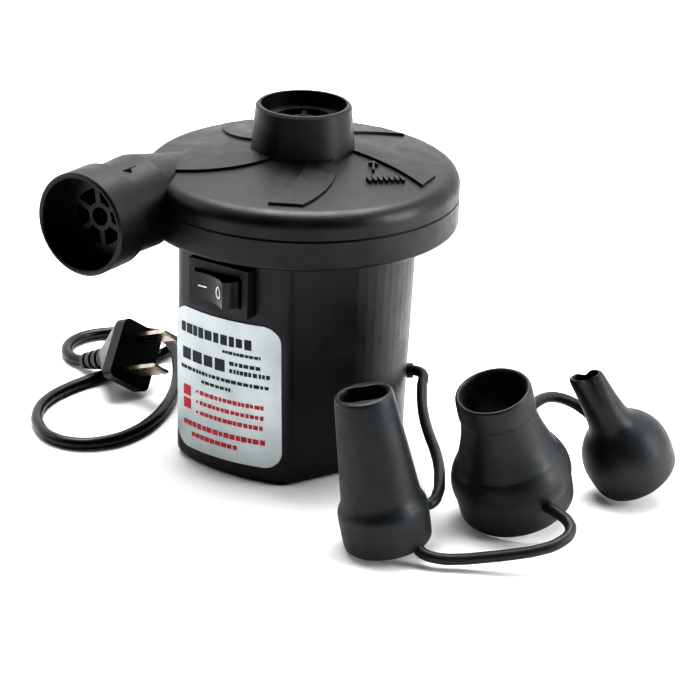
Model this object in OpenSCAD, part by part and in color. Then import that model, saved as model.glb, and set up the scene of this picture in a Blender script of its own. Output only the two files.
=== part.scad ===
// Hand-held electric air pump for air beds, with a mains lead and three
// soft nozzles on a tether. The origin is on the pump's axis, on the base
// plane. +Z is up and the label panel faces -Y.

/* [Body] */
// Height of the body below the fan case
body_h = 78; // [72:1:94]
// Radius of the body's back at its base
body_r_base = 36.4; // [35:0.1:38]
// Radius of the body's back at its top
body_r_top = 38.6; // [37:0.1:42]
// Distance from the axis to the middle of the front panel
panel_front = 42.4; // [40:0.1:46]
// Radius of the front panel's curve
panel_arc_r = 58; // [50:1:90]
// Distance from the axis plane to the centres of the panel's corners
panel_corner_x = 16.5; // [14:0.5:19]
// Radius of the panel's corners
panel_corner_r = 8; // [6:0.5:10]
// Thickness of the body's wall
wall = 2; // [1.6:0.1:2.6]
// Thickness of the body's floor
floor_t = 2.4; // [2:0.1:3]
// Radius of the rounding at the base
base_round = 3; // [2:0.5:5]

/* [Fan case] */
// Outer radius of the fan case
case_r = 52; // [49:1:62]
// Thickness of the fan case's wall
case_wall = 2.2; // [1.8:0.1:3]
// Height of the lower half of the fan case
lower_case_h = 10; // [9:0.5:14]
// Height of the upper half of the fan case at its rim
upper_case_h = 9; // [8:0.5:14]
// Radius of the rounded upper rim
rim_round = 5.5; // [3:0.5:7]
// Rise of the dome from the rim to the inlet tube
dome_rise = 5; // [3:0.5:9]
// Height of the swirl bands above the dome
swirl_rise = 0.8; // [0.4:0.1:1.5]
// Number of swirl bands
swirl_count = 5; // [3:1:8]

/* [Inlet tube] */
// Outer radius of the inlet tube at its foot
inlet_r_foot = 17; // [16:0.1:20]
// Outer radius of the inlet tube at its mouth
inlet_r_mouth = 15.7; // [14.5:0.1:18]
// Inner radius of the inlet tube
inlet_bore_r = 14; // [12:0.1:14.4]
// Height of the inlet tube above the dome
inlet_h = 15; // [12:0.5:20]
// Depth of the inlet's guard below its mouth
inlet_guard_depth = 4.6; // [4.4:0.1:9]

/* [Outlet tube] */
// Distance of the outlet's axis from the pump's axis
outlet_x = 34; // [32:0.5:36]
// Distance from the pump's axis to the outlet's mouth
outlet_reach = 73.5; // [70:0.5:84]
// Outer radius of the outlet's collar
collar_r = 16.8; // [16.4:0.1:18]
// Length of the outlet's collar
collar_l = 13; // [10:0.5:18]
// Inner radius of the outlet's collar
outlet_bore_r = 15; // [14:0.1:15.4]
// Outer radius of the outlet's neck
neck_r = 14.6; // [13.8:0.1:15]
// Inner radius of the outlet's neck
neck_bore_r = 12.2; // [10:0.1:12.6]

/* [Switch] */
// Width of the switch boss
boss_w = 23; // [22:0.5:27]
// Height of the switch boss
boss_h = 16; // [15:0.5:19]
// Distance that the switch boss stands in front of the panel's middle
boss_proud = 3.4; // [1.5:0.1:4]
// Distance of the switch's middle from the axis plane
switch_x = 0; // [-3:0.5:3]
// Height of the switch's middle
switch_z = 66.7; // [60:0.1:68]
// Width of the rocker
rocker_w = 17.4; // [15:0.1:18.5]
// Height of the rocker
rocker_h = 9; // [8:0.1:11]
// Angle that the rocker turns through
rocker_turn = 26; // [16:1:30]

/* [Label] */
// Width of the label
label_w = 42; // [30:1:44]
// Height of the label
label_h = 49.5; // [40:0.5:50]
// Height of the label's lower edge
label_z = 5.6; // [4:0.2:6]
// Radius of the label's corners
label_corner_r = 6; // [3:0.5:8]
// Thickness of the label
label_t = 0.35; // [0.2:0.05:0.6]

/* [Motor and fan] */
// Radius of the motor's can
can_r = 18; // [16:0.5:20]
// Length of the motor's can
can_l = 54; // [50:1:58]
// Radius of the motor's shaft
shaft_r = 1.6; // [1.5:0.05:2.5]
// Radius of the fan
fan_r = 39; // [34:0.5:42]
// Number of fan blades
fan_blades = 9; // [6:1:12]
// Radius of the opening under the motor plate
plate_hole_r = 28; // [24:0.5:28.5]
// Thickness of the motor plate
plate_t = 2; // [1.6:0.1:2.6]

/* [Nozzles] */
// Radius of the bore that fits over the pump's tubes
wide_socket_r = 17.1; // [16.9:0.1:18.2]
// Outer radius of the wide nozzle's collar
wide_collar_r = 12.2; // [11.5:0.1:13]
// Length of the wide nozzle
wide_l = 45; // [38:0.5:48]
// Length of the tall nozzle
tall_l = 51; // [44:0.5:60]
// Outer radius of the tall nozzle at its mouth
tall_tip_r = 8.9; // [8:0.1:10]
// Length of the pinch nozzle
pinch_l = 43; // [36:0.5:48]
// Outer radius of the pinch nozzle at its tip
pinch_tip_r = 4.4; // [4.2:0.1:5.5]
// Thickness of the nozzles' wall
nozzle_wall = 1.9; // [1.4:0.1:2.3]
// Diameter of the tether
tether_d = 3.6; // [3.2:0.1:4]

/* [Mains lead] */
// Diameter of the mains lead
cord_d = 4; // [3.6:0.1:4.4]
// Length of the bend relief at the body
gland_l = 22; // [20:1:26]
// Length of the plug's body
plug_l = 15; // [13:0.5:18]
// Width of the plug's face
plug_face_h = 22; // [20:0.5:26]
// Thickness of the plug's face
plug_face_w = 17.5; // [14:0.5:19]

/* [Hidden] */
$fn = 96;

// Clearances
fit_gap = 0.15;      // between pieces of one body that fit together
run_gap = 0.03;      // between a shaft and its bearing
moving_gap = 0.4;    // between pieces that move past each other
overlap = 0.01;      // overlap of the shapes that make one piece

// Levels of the fan case
case_floor_t = 2;
parting_z = body_h + lower_case_h;
case_floor_z = body_h + case_floor_t;
rim_z = parting_z + upper_case_h;
dome_z = rim_z + dome_rise;
inlet_top_z = dome_z + inlet_h;
inlet_guard_z = inlet_top_z - inlet_guard_depth;
chamber_r = case_r - case_wall;
swirl_turn = -36;
swirl_width = 32;
swirl_end_width = 14;
swirl_start = -19;
mark_proud = 0.3;
case_foot_round = 1.5;

// Joint line between the halves of the fan case
tongue_h = 1.2;
tongue_t = 0.9;

// Outlet
neck_y = -(outlet_reach - collar_l);
outlet_stop_y = neck_y - 2.4;
neck_end_y = -44;
neck_root_y = -10;
mouth_chamfer = 0.7;
seam_chamfer = 0.4;
grille_t = 1.6;
grille_lip = 1;
guard_hole_r = 9.2;
guard_plate_t = 2;

// Cover screws
cover_screw_r = chamber_r - 3.4;
cover_screw_angles = [20, 95, 160, 312];
cover_boss_r = 3.2;
cover_head_depth = 1.6;
screw_shank_r = 1.25;
screw_pilot_r = 1.05;
screw_head_r = 2.4;
screw_head_t = 1.6;

// Motor plate and its screws
gasket_t = 0.8;
plate_r = plate_hole_r + 7;
plate_z = case_floor_z + gasket_t;
plate_screw_r = plate_hole_r + 3.4;
plate_screw_angles = [90, 205, 335];
plate_boss_r = 2.9;
plate_boss_l = 10;

// Motor
can_wall = 1;
can_top_z = plate_z;
can_bottom_z = can_top_z - can_l;
can_boss_r = 6;
can_boss_h = 3;
bearing_r = 4;
bearing_l = 5;
motor_screw_r = 11;
cap_t = 4;
cap_z = can_bottom_z;
magnet_t = 3.6;
magnet_z = cap_z + 16;
magnet_l = can_l - 22;
core_r = can_r - can_wall - magnet_t - 0.6;
core_z = magnet_z + 3;
core_l = magnet_l - 8;
pole_count = 5;
commutator_r = 4.8;
commutator_z = cap_z + cap_t + 3;
commutator_l = 9;
brush_w = 3;
brush_h = 5;
brush_l = 7;
brush_gap = 0.2;
brush_z = commutator_z + 3;
spring_r = 1.3;
shaft_bottom_z = cap_z - 6;

// Fan
fan_base_z = plate_z + plate_t + 1.6;
fan_base_t = 1.4;
fan_hub_r = 5;
fan_rim_top_z = rim_z - case_wall - 2.4;
fan_eye_top_z = dome_z - case_wall - 1.6;
fan_blade_t = 1.3;
hub_top_z = fan_base_z + 9;

// Rectifier board
board_z = floor_t + 6.4;
board_t = 1.6;
board_w = 34;
board_d = 22;
board_screw_x = 13.5;
diode_r = 1.4;
diode_l = 6;

// Switch
boss_face_y = -(panel_front + boss_proud);
pocket_gap = 0.5;
switch_wall = 1;
switch_depth = 13;
pivot_y = boss_face_y + 2.2;
rocker_sweep_r = rocker_w / 2 + 0.2;
rocker_end_angle = 49;
rocker_hollow = 1.5;
rocker_face_x = rocker_sweep_r * sin(rocker_end_angle);
rocker_face_r = (pow(rocker_face_x, 2) + pow(rocker_hollow, 2)) / (2 * rocker_hollow);
rocker_face_v = rocker_sweep_r * cos(rocker_end_angle) - rocker_hollow + rocker_face_r;
mark_t = 0.2;
label_turn = 1.4;
label_x = -0.4;

// Mains lead
cord_r = cord_d / 2;
gland_angle = 100;
gland_z = 10;
gland_wall_r = body_r_base + (body_r_top - body_r_base) * gland_z / body_h;
gland_dir = [cos(gland_angle), sin(gland_angle), 0];
gland_r_root = 4.4;
gland_r_tip = cord_r + 1;
coil_centre = [-52, 62];
coil_columns = 2;
coil_layers = 3;
coil_r_out = 25.5;
coil_r_in = coil_r_out - coil_columns * cord_d;
tie_t = 1;
tie_w = 5;

// Route of the lead from the bend relief to the coil
lead_route = [
    [-10.4, 59, 10], [-12.2, 66, 9.8], [-16, 72.6, 10.6], [-22, 78, 12.2], [-29.6, 81.6, 13.6],
    [-38, 83, 14.2], [-46, 82.2, 14.2]
];
// Route of the lead from the coil to the plug
run_route = [
    [-60.2, 88.2, 9.2], [-66.6, 87.2, 7], [-72.6, 83.6, 4.4], [-76.8, 76.6, 2.4],
    [-79.2, 67, 2], [-79.6, 57, 2], [-78.2, 46, 2], [-76, 35, 2], [-74.8, 24, 2], [-75.6, 12, 2], [-78, 0, 2], [-80.4, -12, 2], [-82, -24, 2],
    [-81, -35, 2], [-76.6, -45, 2], [-69, -53, 2], [-59, -57.6, 2], [-49.4, -55.6, 2],
    [-43, -48, 2], [-40.6, -38, 2], [-41.4, -27, 2], [-44.4, -16, 2], [-49, -5, 2.2],
    [-55, 5.5, 2.8], [-62, 15, 4.4], [-70, 22.6, 6], [-78, 27.6, 6.3], [-85, 30, 5],
    [-92, 30.3, 3.6], [-98.1, 29.1, 2.6], [-103.3, 25.6, 2.1], [-106.8, 20.4, 2], [-108, 14.3, 2],
    [-106.8, 8.2, 2], [-103.3, 3, 2], [-98.4, -0.3, 2.1], [-94, -1.5, 2.5], [-90.9, -1.9, 3.2]
];

// Plug, at the end of the lead
plug_relief_l = 15;
plug_at = run_route[len(run_route) - 1];
plug_turn = [-38, -21.7, -10.4];
blade_gap = 12.7;
blade_w = 6.3;
blade_t = 1.5;
blade_l = 17;
blade_chamfer = 1.4;
blade_root = 3;

// Tether routes: pump to tall nozzle, tall to wide nozzle, wide to pinch nozzle
tether_r = tether_d / 2;
stud_angle = 37;
stud_z = 23;
stud_l = 2;
route_1 = [
    [31.4, 23.6, 23], [32.3, 24.3, 23], [35.8, 22.8, 22.9], [39, 17.6, 21.4], [43.4, 10.8, 19.2], [49.2, 3.2, 17.4],
    [56, -4.6, 16.2], [63, -12.2, 15.4], [69.6, -20.4, 14.8], [75, -28.6, 14.6], [79.4, -36.6, 14.4],
    [81.2, -44, 14]
];
route_2 = [
    [87.4, -57.5, 4.2], [92, -56.6, 3.6], [98, -53, 3.6], [105, -49, 4.8], [112, -44.6, 6.2], [118, -40, 7.6],
    [122.2, -34.6, 9.2], [122.8, -29, 10.8], [119.6, -25.2, 12], [115.2, -23.3, 12.6], [111.2, -22, 12.8]
];
route_3 = [
    [90.8, -4.2, 33.1], [90.6, 0.5, 34], [90.4, 5.8, 34.2], [90.6, 11.2, 33.4], [91.8, 16.2, 31.8],
    [94.2, 20.2, 29.6], [97.6, 22.6, 27], [101.7, 23.5, 24.1]
];

// Nozzles: place of the foot's centre, and turn about X and about Y
tall_at = [73.1, -54.6, 1.95];
tall_tilt = [4.6, -7, 0];
wide_at = [93.8, -11, 5.7];
wide_tilt = [18.2, -4.6, 0];
pinch_at = [115.5, 29.6, 6.7];
pinch_tilt = [25.8, -17.1, 0];
nozzle_foot_round = 1.6;
tall_socket_r = wide_collar_r + fit_gap;
tall_socket_l = 14;
tall_shoulder_r = tall_socket_r - 0.2;
wide_socket_l = 12;
wide_collar_l = 8;
wide_waist_r = wide_collar_r - 0.5;
pinch_socket_r = wide_collar_r + fit_gap;
pinch_socket_l = 10;
pinch_bulb_r = pinch_socket_r + nozzle_wall + 0.5;
pinch_spout_r = 6.4;

// ---------------------------------------------------------------- helpers

function arc_points(c, r, a0, a1, n) =
    [for (i = [0:n]) let (a = a0 + (a1 - a0) * i / n) [c[0] + r * cos(a), c[1] + r * sin(a)]];

// Radius of the body's back at a height
function body_r(z) = body_r_base + (body_r_top - body_r_base) * z / body_h;

// Outline of the body at a height, drawn in by inset
function body_outline(z, inset) =
    let (
        pc = [0, panel_arc_r - panel_front],
        cy = pc[1] - sqrt(pow(panel_arc_r - panel_corner_r, 2) - pow(panel_corner_x, 2)),
        c = [panel_corner_x, cy],
        side = atan2(cy, panel_corner_x)
             + acos((body_r(z) - panel_corner_r) / norm(c)),
        front = atan2(cy - pc[1], panel_corner_x)
    )
    concat(
        arc_points([0, 0], body_r(z) - inset, side, 180 - side, 44),
        arc_points([-c[0], c[1]], panel_corner_r - inset, 180 - side, 180 - front, 7),
        [for (i = [1:11]) let (a = 180 - front + (180 + 2 * front) * i / 12)
            [pc[0] + (panel_arc_r - inset) * cos(a), pc[1] + (panel_arc_r - inset) * sin(a)]],
        arc_points(c, panel_corner_r - inset, 360 + front, 360 + side, 7)
    );

// Skin through rings of the same number of points, each ring counterclockwise
module skin(rings) {
    n = len(rings[0]);
    m = len(rings);
    points = [for (ring = rings) for (p = ring) p];
    sides = [for (k = [0:m - 2]) for (i = [0:n - 1]) for (half = [0, 1])
        let (j = (i + 1) % n, a = k * n + i, b = k * n + j, c = (k + 1) * n + j, d = (k + 1) * n + i)
        half == 0 ? [a, c, b] : [a, d, c]];
    bottom = [for (i = [0:n - 1]) i];
    top = [for (i = [n - 1:-1:0]) (m - 1) * n + i];
    polyhedron(points, concat([bottom], sides, [top]));
}

function lift(outline, z) = [for (p = outline) [p[0], p[1], z]];

// The body from one height to another, with a rounded foot
module body_solid(inset, z0, z1, foot) {
    steps = 5;
    rounds = [for (i = [0:steps]) let (a = 90 * i / steps) [foot * (1 - sin(a)), foot * (1 - cos(a))]];
    skin(concat(
        [for (q = rounds) lift(body_outline(z0 + q[1], inset + q[0]), z0 + q[1])],
        [lift(body_outline(z1, inset), z1)]
    ));
}

// Round tube along a route, with one ring at each of its points
module sweep(route, r, sides) {
    n = len(route);
    dirs = [for (i = [0:n - 1])
        let (v = route[min(i + 1, n - 1)] - route[max(i - 1, 0)]) v / norm(v)];
    skin([for (i = [0:n - 1])
        let (
            d = dirs[i],
            u0 = cross(d, [0, 0, 1]),
            u = u0 / norm(u0),
            v = cross(u, d)
        )
        [for (k = [0:sides - 1]) let (a = -360 * k / sides) route[i] + r * (u * cos(a) + v * sin(a))]
    ]);
}

// Screw that points down from the underside of its head
module screw(head_r, head_t, shank_r, length) {
    slot_w = head_r * 0.36;
    difference() {
        cylinder(r = head_r, h = head_t);
        for (turn = [0, 90])
            rotate([0, 0, turn])
                translate([-head_r * 0.6, -slot_w / 2, head_t * 0.45])
                    cube([head_r * 1.2, slot_w, head_t]);
    }
    translate([0, 0, -length])
        cylinder(r = shank_r, h = length + overlap);
}

module at_angles(angles, r, z) {
    for (a = angles)
        rotate([0, 0, a])
            translate([r, 0, z])
                children();
}

// Cylinder along the outlet's axis, from one y to another
module outlet_cylinder(y0, y1, r0, r1) {
    translate([-outlet_x, y0, parting_z])
        rotate([-90, 0, 0])
            cylinder(r1 = r0, r2 = r1, h = y1 - y0);
}

// ------------------------------------------------------------- fan case

module outlet_outside() {
    outlet_cylinder(-outlet_reach, -outlet_reach + mouth_chamfer, collar_r - mouth_chamfer, collar_r);
    outlet_cylinder(-outlet_reach + mouth_chamfer - overlap, neck_y, collar_r, collar_r);
    outlet_cylinder(neck_y - overlap, neck_end_y, neck_r + 0.3, neck_r + 1);
    outlet_cylinder(neck_end_y - overlap, neck_root_y, neck_r + 1, 8);
}

module outlet_inside() {
    outlet_cylinder(-outlet_reach - overlap, -outlet_reach + 0.5, outlet_bore_r + 0.5, outlet_bore_r);
    outlet_cylinder(-outlet_reach - 1, outlet_stop_y, outlet_bore_r, outlet_bore_r);
    outlet_cylinder(outlet_stop_y - 1, neck_end_y, neck_bore_r, neck_bore_r);
    outlet_cylinder(neck_end_y - overlap, neck_root_y - 4, neck_bore_r, 6.4);
}

// Groove that holds the outlet's grille between the two halves
module grille_groove(gap) {
    outlet_cylinder(outlet_stop_y - gap, outlet_stop_y + grille_t + gap,
        neck_bore_r + grille_lip + gap, neck_bore_r + grille_lip + gap);
}

module below(z) {
    translate([-200, -200, z - 400])
        cube([400, 400, 400]);
}

module above(z) {
    translate([-200, -200, z])
        cube([400, 400, 400]);
}

module lower_case_outside() {
    rotate_extrude()
        difference() {
            polygon([[0, body_h], [case_r, body_h], [case_r, parting_z - seam_chamfer],
                [case_r - seam_chamfer, parting_z], [0, parting_z]]);
            translate([case_r - case_foot_round, body_h])
                difference() {
                    square([case_foot_round + 1, case_foot_round]);
                    translate([0, case_foot_round])
                        circle(r = case_foot_round);
                }
        }
}

module switch_boss() {
    translate([switch_x - boss_w / 2, boss_face_y, switch_z - boss_h / 2])
        cube([boss_w, panel_front - panel_arc_r * 0.5 + boss_proud, boss_h]);
}

// Pocket that the rocker moves in, and the hole behind it for the switch
module switch_hole() {
    translate([switch_x - rocker_w / 2 - pocket_gap, boss_face_y - 1, switch_z - rocker_h / 2 - pocket_gap])
        cube([rocker_w + 2 * pocket_gap, 30, rocker_h + 2 * pocket_gap]);
}

module cord_hole(r) {
    rotate([0, 0, gland_angle])
        translate([gland_wall_r - 8, 0, gland_z])
            rotate([0, 90, 0])
                cylinder(r = r, h = 16);
}

module vents() {
    slot_w = 2;
    slot_h = 14;
    for (i = [-3:3])
        rotate([0, 0, 90 + i * 9])
            translate([body_r_base - 8, -slot_w / 2, body_h * 0.52])
                cube([20, slot_w, slot_h]);
}

module lower_housing() color("#1c1f22") {
    difference() {
        union() {
            difference() {
                union() {
                    body_solid(0, 0, body_h + 1, base_round);
                    switch_boss();
                    lower_case_outside();
                    intersection() {
                        outlet_outside();
                        below(parting_z);
                    }
                }
                body_solid(wall, floor_t, body_h, base_round);
                translate([0, 0, case_floor_z])
                    cylinder(r = chamber_r, h = lower_case_h);
                outlet_inside();
                grille_groove(fit_gap);
            }
            at_angles(cover_screw_angles, cover_screw_r, body_h)
                cylinder(r = cover_boss_r, h = lower_case_h);
            at_angles(plate_screw_angles, plate_screw_r, case_floor_z - plate_boss_l)
                cylinder(r = plate_boss_r, h = plate_boss_l);
            for (side = [-1, 1]) {
                translate([side * board_screw_x, 0, 0.6])
                    cylinder(r = 3, h = board_z - 0.6);
                clamp_post(side);
            }
        }
        translate([0, 0, body_h - 1])
            cylinder(r = plate_hole_r, h = case_floor_t + 2);
        at_angles(cover_screw_angles, cover_screw_r, body_h - 1)
            cylinder(r = screw_shank_r + 0.15, h = lower_case_h + 2);
        at_angles(cover_screw_angles, cover_screw_r, body_h - 1)
            cylinder(r = screw_head_r + 0.3, h = cover_head_depth + 1);
        at_angles(plate_screw_angles, plate_screw_r, case_floor_z - plate_boss_l + 1)
            cylinder(r = screw_shank_r, h = plate_boss_l);
        for (side = [-1, 1]) {
            translate([side * board_screw_x, 0, floor_t])
                cylinder(r = screw_pilot_r, h = board_z);
            clamp_pilot(side);
        }
        switch_hole();
        cord_hole(gland_r_root - 1);
        vents();
        rotate([0, 0, stud_angle])
            translate([body_r_base - 8, 0, stud_z])
                rotate([0, 90, 0])
                    cylinder(r = 1.5, h = 16);
        difference() {
            translate([0, 0, parting_z - tongue_h])
                cylinder(r = case_r - case_wall + tongue_t, h = tongue_h + 1);
            at_angles(cover_screw_angles, cover_screw_r, parting_z - tongue_h - 1)
                cylinder(r = cover_boss_r, h = tongue_h + 3);
        }
    }
}

// Half profile of the cover, drawn in by inset
module cover_profile(inset, z0) {
    r = case_r - inset;
    c = [case_r - rim_round, rim_z - rim_round];
    polygon(concat(
        [[0, z0], [r - seam_chamfer, z0], [r, z0 + seam_chamfer]],
        arc_points(c, rim_round - inset, 0, dome_slope(), 12),
        [[inlet_r_foot, dome_z - inset], [0, dome_z - inset]]
    ));
}

// Angle at which the rim's rounding runs out into the dome
function dome_slope() =
    90 - atan2(dome_rise, case_r - rim_round - inlet_r_foot) * 0.6;

module cover_outside(raise) {
    translate([0, 0, raise])
        rotate_extrude()
            cover_profile(0, parting_z);
}

// Bands that sweep out from the inlet tube to the rim
module swirl_plan() {
    steps = 9;
    r0 = inlet_r_foot - 1;
    r1 = case_r - rim_round - 1.5;
    function edge(t, side) =
        let (
            r = r0 + (r1 - r0) * t,
            a = swirl_turn * t - side * (swirl_width + (swirl_end_width - swirl_width) * t)
        )
        [r * cos(a), r * sin(a)];
    for (i = [0:swirl_count - 1])
        rotate([0, 0, 360 * i / swirl_count + swirl_start])
            polygon(concat(
                [for (k = [0:steps]) edge(k / steps, 1)],
                [for (k = [steps:-1:0]) edge(k / steps, 0)]
            ));
}

module guard(r, t, spoke_w) {
    for (i = [0:5])
        rotate([0, 0, 60 * i])
            translate([3.6, -spoke_w / 2, 0])
                cube([r - 3.6, spoke_w, t]);
    difference() {
        cylinder(r = 4.6, h = t);
        translate([0, 0, -1])
            cylinder(r = 3, h = t + 2);
    }
}

module arrow(length, t) {
    linear_extrude(t) {
        translate([-0.35, -length / 2])
            square([0.7, length]);
        polygon([[-1.6, length / 2 - 1.8], [0, length / 2], [1.6, length / 2 - 1.8],
            [1.1, length / 2 - 2.3], [0, length / 2 - 1.1], [-1.1, length / 2 - 2.3]]);
    }
}

module upper_cover() color("#1c1f22") {
    difference() {
        union() {
            difference() {
                union() {
                    cover_outside(0);
                    intersection() {
                        translate([0, 0, parting_z])
                            linear_extrude(dome_z - parting_z + 2)
                                swirl_plan();
                        cover_outside(swirl_rise);
                    }
                    intersection() {
                        outlet_outside();
                        above(parting_z);
                    }
                }
                rotate_extrude()
                    cover_profile(case_wall, parting_z - 1);
                outlet_inside();
                grille_groove(fit_gap);
            }
            intersection() {
                at_angles(cover_screw_angles, cover_screw_r, parting_z)
                    cylinder(r = cover_boss_r, h = upper_case_h);
                cover_outside(0);
            }
            translate([0, 0, dome_z - 2])
                cylinder(r1 = inlet_r_foot + 0.2, r2 = inlet_r_mouth, h = inlet_h + 2 - mouth_chamfer);
            translate([0, 0, inlet_top_z - mouth_chamfer - overlap])
                cylinder(r1 = inlet_r_mouth, r2 = inlet_r_mouth - mouth_chamfer, h = mouth_chamfer + overlap);
            intersection() {
                union() {
                    translate([27, 1, parting_z])
                        rotate([0, 0, 33])
                            arrow(7, dome_z - parting_z + 2);
                    for (i = [-3:3])
                        translate([35 + i * 1.1, -4 + i * 1.55, parting_z])
                            rotate([0, 0, 55])
                                translate([-0.5, -1.4, 0])
                                    cube([1, 2.8, dome_z - parting_z + 2]);
                }
                difference() {
                    cover_outside(swirl_rise + mark_proud);
                    rotate_extrude()
                        cover_profile(case_wall - 0.5, parting_z - 1);
                }
            }
            translate([-outlet_x + 5, neck_y + 7, parting_z + neck_r - 1.8])
                rotate([0, 20, 180])
                    arrow(6, 2);
        }
        translate([0, 0, inlet_guard_z])
            cylinder(r = inlet_bore_r, h = inlet_guard_depth + 1);
        translate([0, 0, rim_z - case_wall - 3])
            cylinder(r = inlet_bore_r - 1.4, h = inlet_guard_z - guard_plate_t - rim_z + case_wall + 3);
        difference() {
            translate([0, 0, inlet_guard_z - guard_plate_t - 1])
                cylinder(r = guard_hole_r, h = guard_plate_t + 2);
            translate([0, 0, inlet_guard_z - guard_plate_t + 0.3])
                rotate([0, 0, 3])
                    guard(guard_hole_r + 1, guard_plate_t - 0.8, 1.5);
        }
        at_angles(cover_screw_angles, cover_screw_r, parting_z - 1)
            cylinder(r = screw_pilot_r, h = upper_case_h - 2);
    }
    // Tongue that centres the cover in the lower half
    difference() {
        translate([0, 0, parting_z - tongue_h + fit_gap])
            cylinder(r = case_r - case_wall + tongue_t - fit_gap, h = tongue_h);
        translate([0, 0, parting_z - tongue_h - 1])
            cylinder(r = chamber_r, h = tongue_h + 3);
        outlet_cylinder(-outlet_reach, 0, neck_r + 1, neck_r + 1);
        at_angles(cover_screw_angles, cover_screw_r, parting_z - tongue_h - 1)
            cylinder(r = cover_boss_r + fit_gap, h = tongue_h + 3);
    }
}

module outlet_grille() color("#24282b") {
    translate([-outlet_x, outlet_stop_y, parting_z])
        rotate([-90, 0, 0]) {
            difference() {
                cylinder(r = neck_bore_r + grille_lip, h = grille_t);
                translate([0, 0, -1])
                    cylinder(r = guard_hole_r, h = grille_t + 2);
            }
            rotate([0, 0, 21.5])
                guard(guard_hole_r + 1, grille_t, 2);
        }
}

// -------------------------------------------------------- motor and fan

module plate_gasket() color("#303030") {
    difference() {
        translate([0, 0, case_floor_z])
            cylinder(r = plate_r, h = gasket_t);
        translate([0, 0, case_floor_z - 1])
            cylinder(r = plate_hole_r, h = gasket_t + 2);
        at_angles(plate_screw_angles, plate_screw_r, case_floor_z - 1)
            cylinder(r = screw_shank_r + fit_gap, h = gasket_t + 2);
    }
}

module motor_plate() color("#b8bcc0") {
    difference() {
        translate([0, 0, plate_z])
            cylinder(r = plate_r, h = plate_t);
        translate([0, 0, plate_z - 1])
            cylinder(r = can_boss_r + fit_gap, h = plate_t + 2);
        at_angles([0, 180], motor_screw_r, plate_z - 1)
            cylinder(r = screw_shank_r + fit_gap, h = plate_t + 2);
        at_angles(plate_screw_angles, plate_screw_r, plate_z - 1)
            cylinder(r = screw_shank_r + fit_gap, h = plate_t + 2);
        at_angles([45, 135, 225, 315], (can_r + plate_hole_r) / 2, plate_z - 1)
            cylinder(r = 2.4, h = plate_t + 2);
    }
}

module plate_screws() color("#c8c8c8")
    at_angles(plate_screw_angles, plate_screw_r, plate_z + plate_t)
        screw(screw_head_r, 1.3, screw_shank_r, 8);

module cover_screws() color("#9a9a9a")
    at_angles(cover_screw_angles, cover_screw_r, body_h + cover_head_depth)
        rotate([180, 0, 0])
            screw(screw_head_r, screw_head_t - 0.2, screw_pilot_r, lower_case_h + 2);

module motor_can() color("#8f9498") {
    difference() {
        union() {
            translate([0, 0, can_bottom_z])
                cylinder(r = can_r, h = can_l);
            translate([0, 0, can_top_z - overlap])
                cylinder(r = can_boss_r, h = can_boss_h);
        }
        translate([0, 0, can_bottom_z - 1])
            cylinder(r = can_r - can_wall, h = can_l + 1 - can_wall);
        translate([0, 0, can_top_z - can_wall - 1])
            cylinder(r = bearing_r, h = can_boss_h + can_wall + 2);
        at_angles([0, 180], motor_screw_r, can_top_z - 4)
            cylinder(r = screw_pilot_r, h = 6);
    }
}

module motor_screws() color("#c8c8c8")
    at_angles([0, 180], motor_screw_r, plate_z + plate_t)
        screw(screw_head_r, 1.2, screw_pilot_r, plate_t + 2);

module field_magnets() color("#3c3c40") {
    difference() {
        translate([0, 0, magnet_z])
            cylinder(r = can_r - can_wall, h = magnet_l);
        translate([0, 0, magnet_z - 1])
            cylinder(r = can_r - can_wall - magnet_t, h = magnet_l + 2);
        translate([-can_r, -4, magnet_z - 1])
            cube([2 * can_r, 8, magnet_l + 2]);
    }
}

module bearing(z) {
    translate([0, 0, z])
        difference() {
            cylinder(r = bearing_r, h = bearing_l);
            translate([0, 0, -1])
                cylinder(r = shaft_r + run_gap, h = bearing_l + 2);
        }
}

module upper_bearing() color("#a98a4a") bearing(can_top_z + can_boss_h - bearing_l);

module lower_bearing() color("#a98a4a") bearing(cap_z - 3);

module end_cap() color("#d8d4c4") {
    difference() {
        union() {
            translate([0, 0, cap_z])
                cylinder(r = can_r - can_wall, h = cap_t);
            translate([0, 0, cap_z - 3])
                cylinder(r = bearing_r + 2, h = 3 + overlap);
            for (side = [-1, 1])
                translate([side > 0 ? commutator_r + 1.2 : -commutator_r - 10.2, -brush_w / 2 - 1.2, cap_z])
                    cube([9, brush_w + 2.4, brush_z - cap_z + brush_h + 0.8]);
        }
        translate([0, 0, cap_z - 4])
            cylinder(r = bearing_r, h = bearing_l + 1);
        translate([0, 0, cap_z - 4])
            cylinder(r = shaft_r + 1, h = cap_t + 6);
        for (side = [-1, 1]) {
            translate([side > 0 ? 3 : -18, -brush_w / 2, brush_z])
                cube([15, brush_w, brush_h]);
            translate([side * 13 - 1.7, -0.4, cap_z - 1])
                cube([3.4, 0.8, cap_t + 4]);
        }
    }
}

module carbon_brushes() color("#2a2a2a")
    for (side = [0, 180])
        rotate([0, 0, side])
            translate([commutator_r + brush_gap, -brush_w / 2, brush_z])
                cube([brush_l, brush_w, brush_h]);

module brush_springs() color("#c0a060")
    for (side = [0, 180])
        rotate([0, 0, side])
            translate([commutator_r + brush_gap + brush_l, 0, brush_z + brush_h / 2])
                rotate([0, 90, 0])
                    difference() {
                        cylinder(r = spring_r, h = 3);
                        translate([0, 0, -1])
                            cylinder(r = spring_r - 0.35, h = 5);
                    }

module motor_terminals() color("#d0a848")
    for (side = [-1, 1])
        translate([side * 13 - 1.6, -0.35, cap_z - 7])
            cube([3.2, 0.7, cap_t + 9]);

module motor_shaft() color("#d0d4d8")
    translate([0, 0, shaft_bottom_z])
        cylinder(r = shaft_r, h = hub_top_z - shaft_bottom_z);

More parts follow.
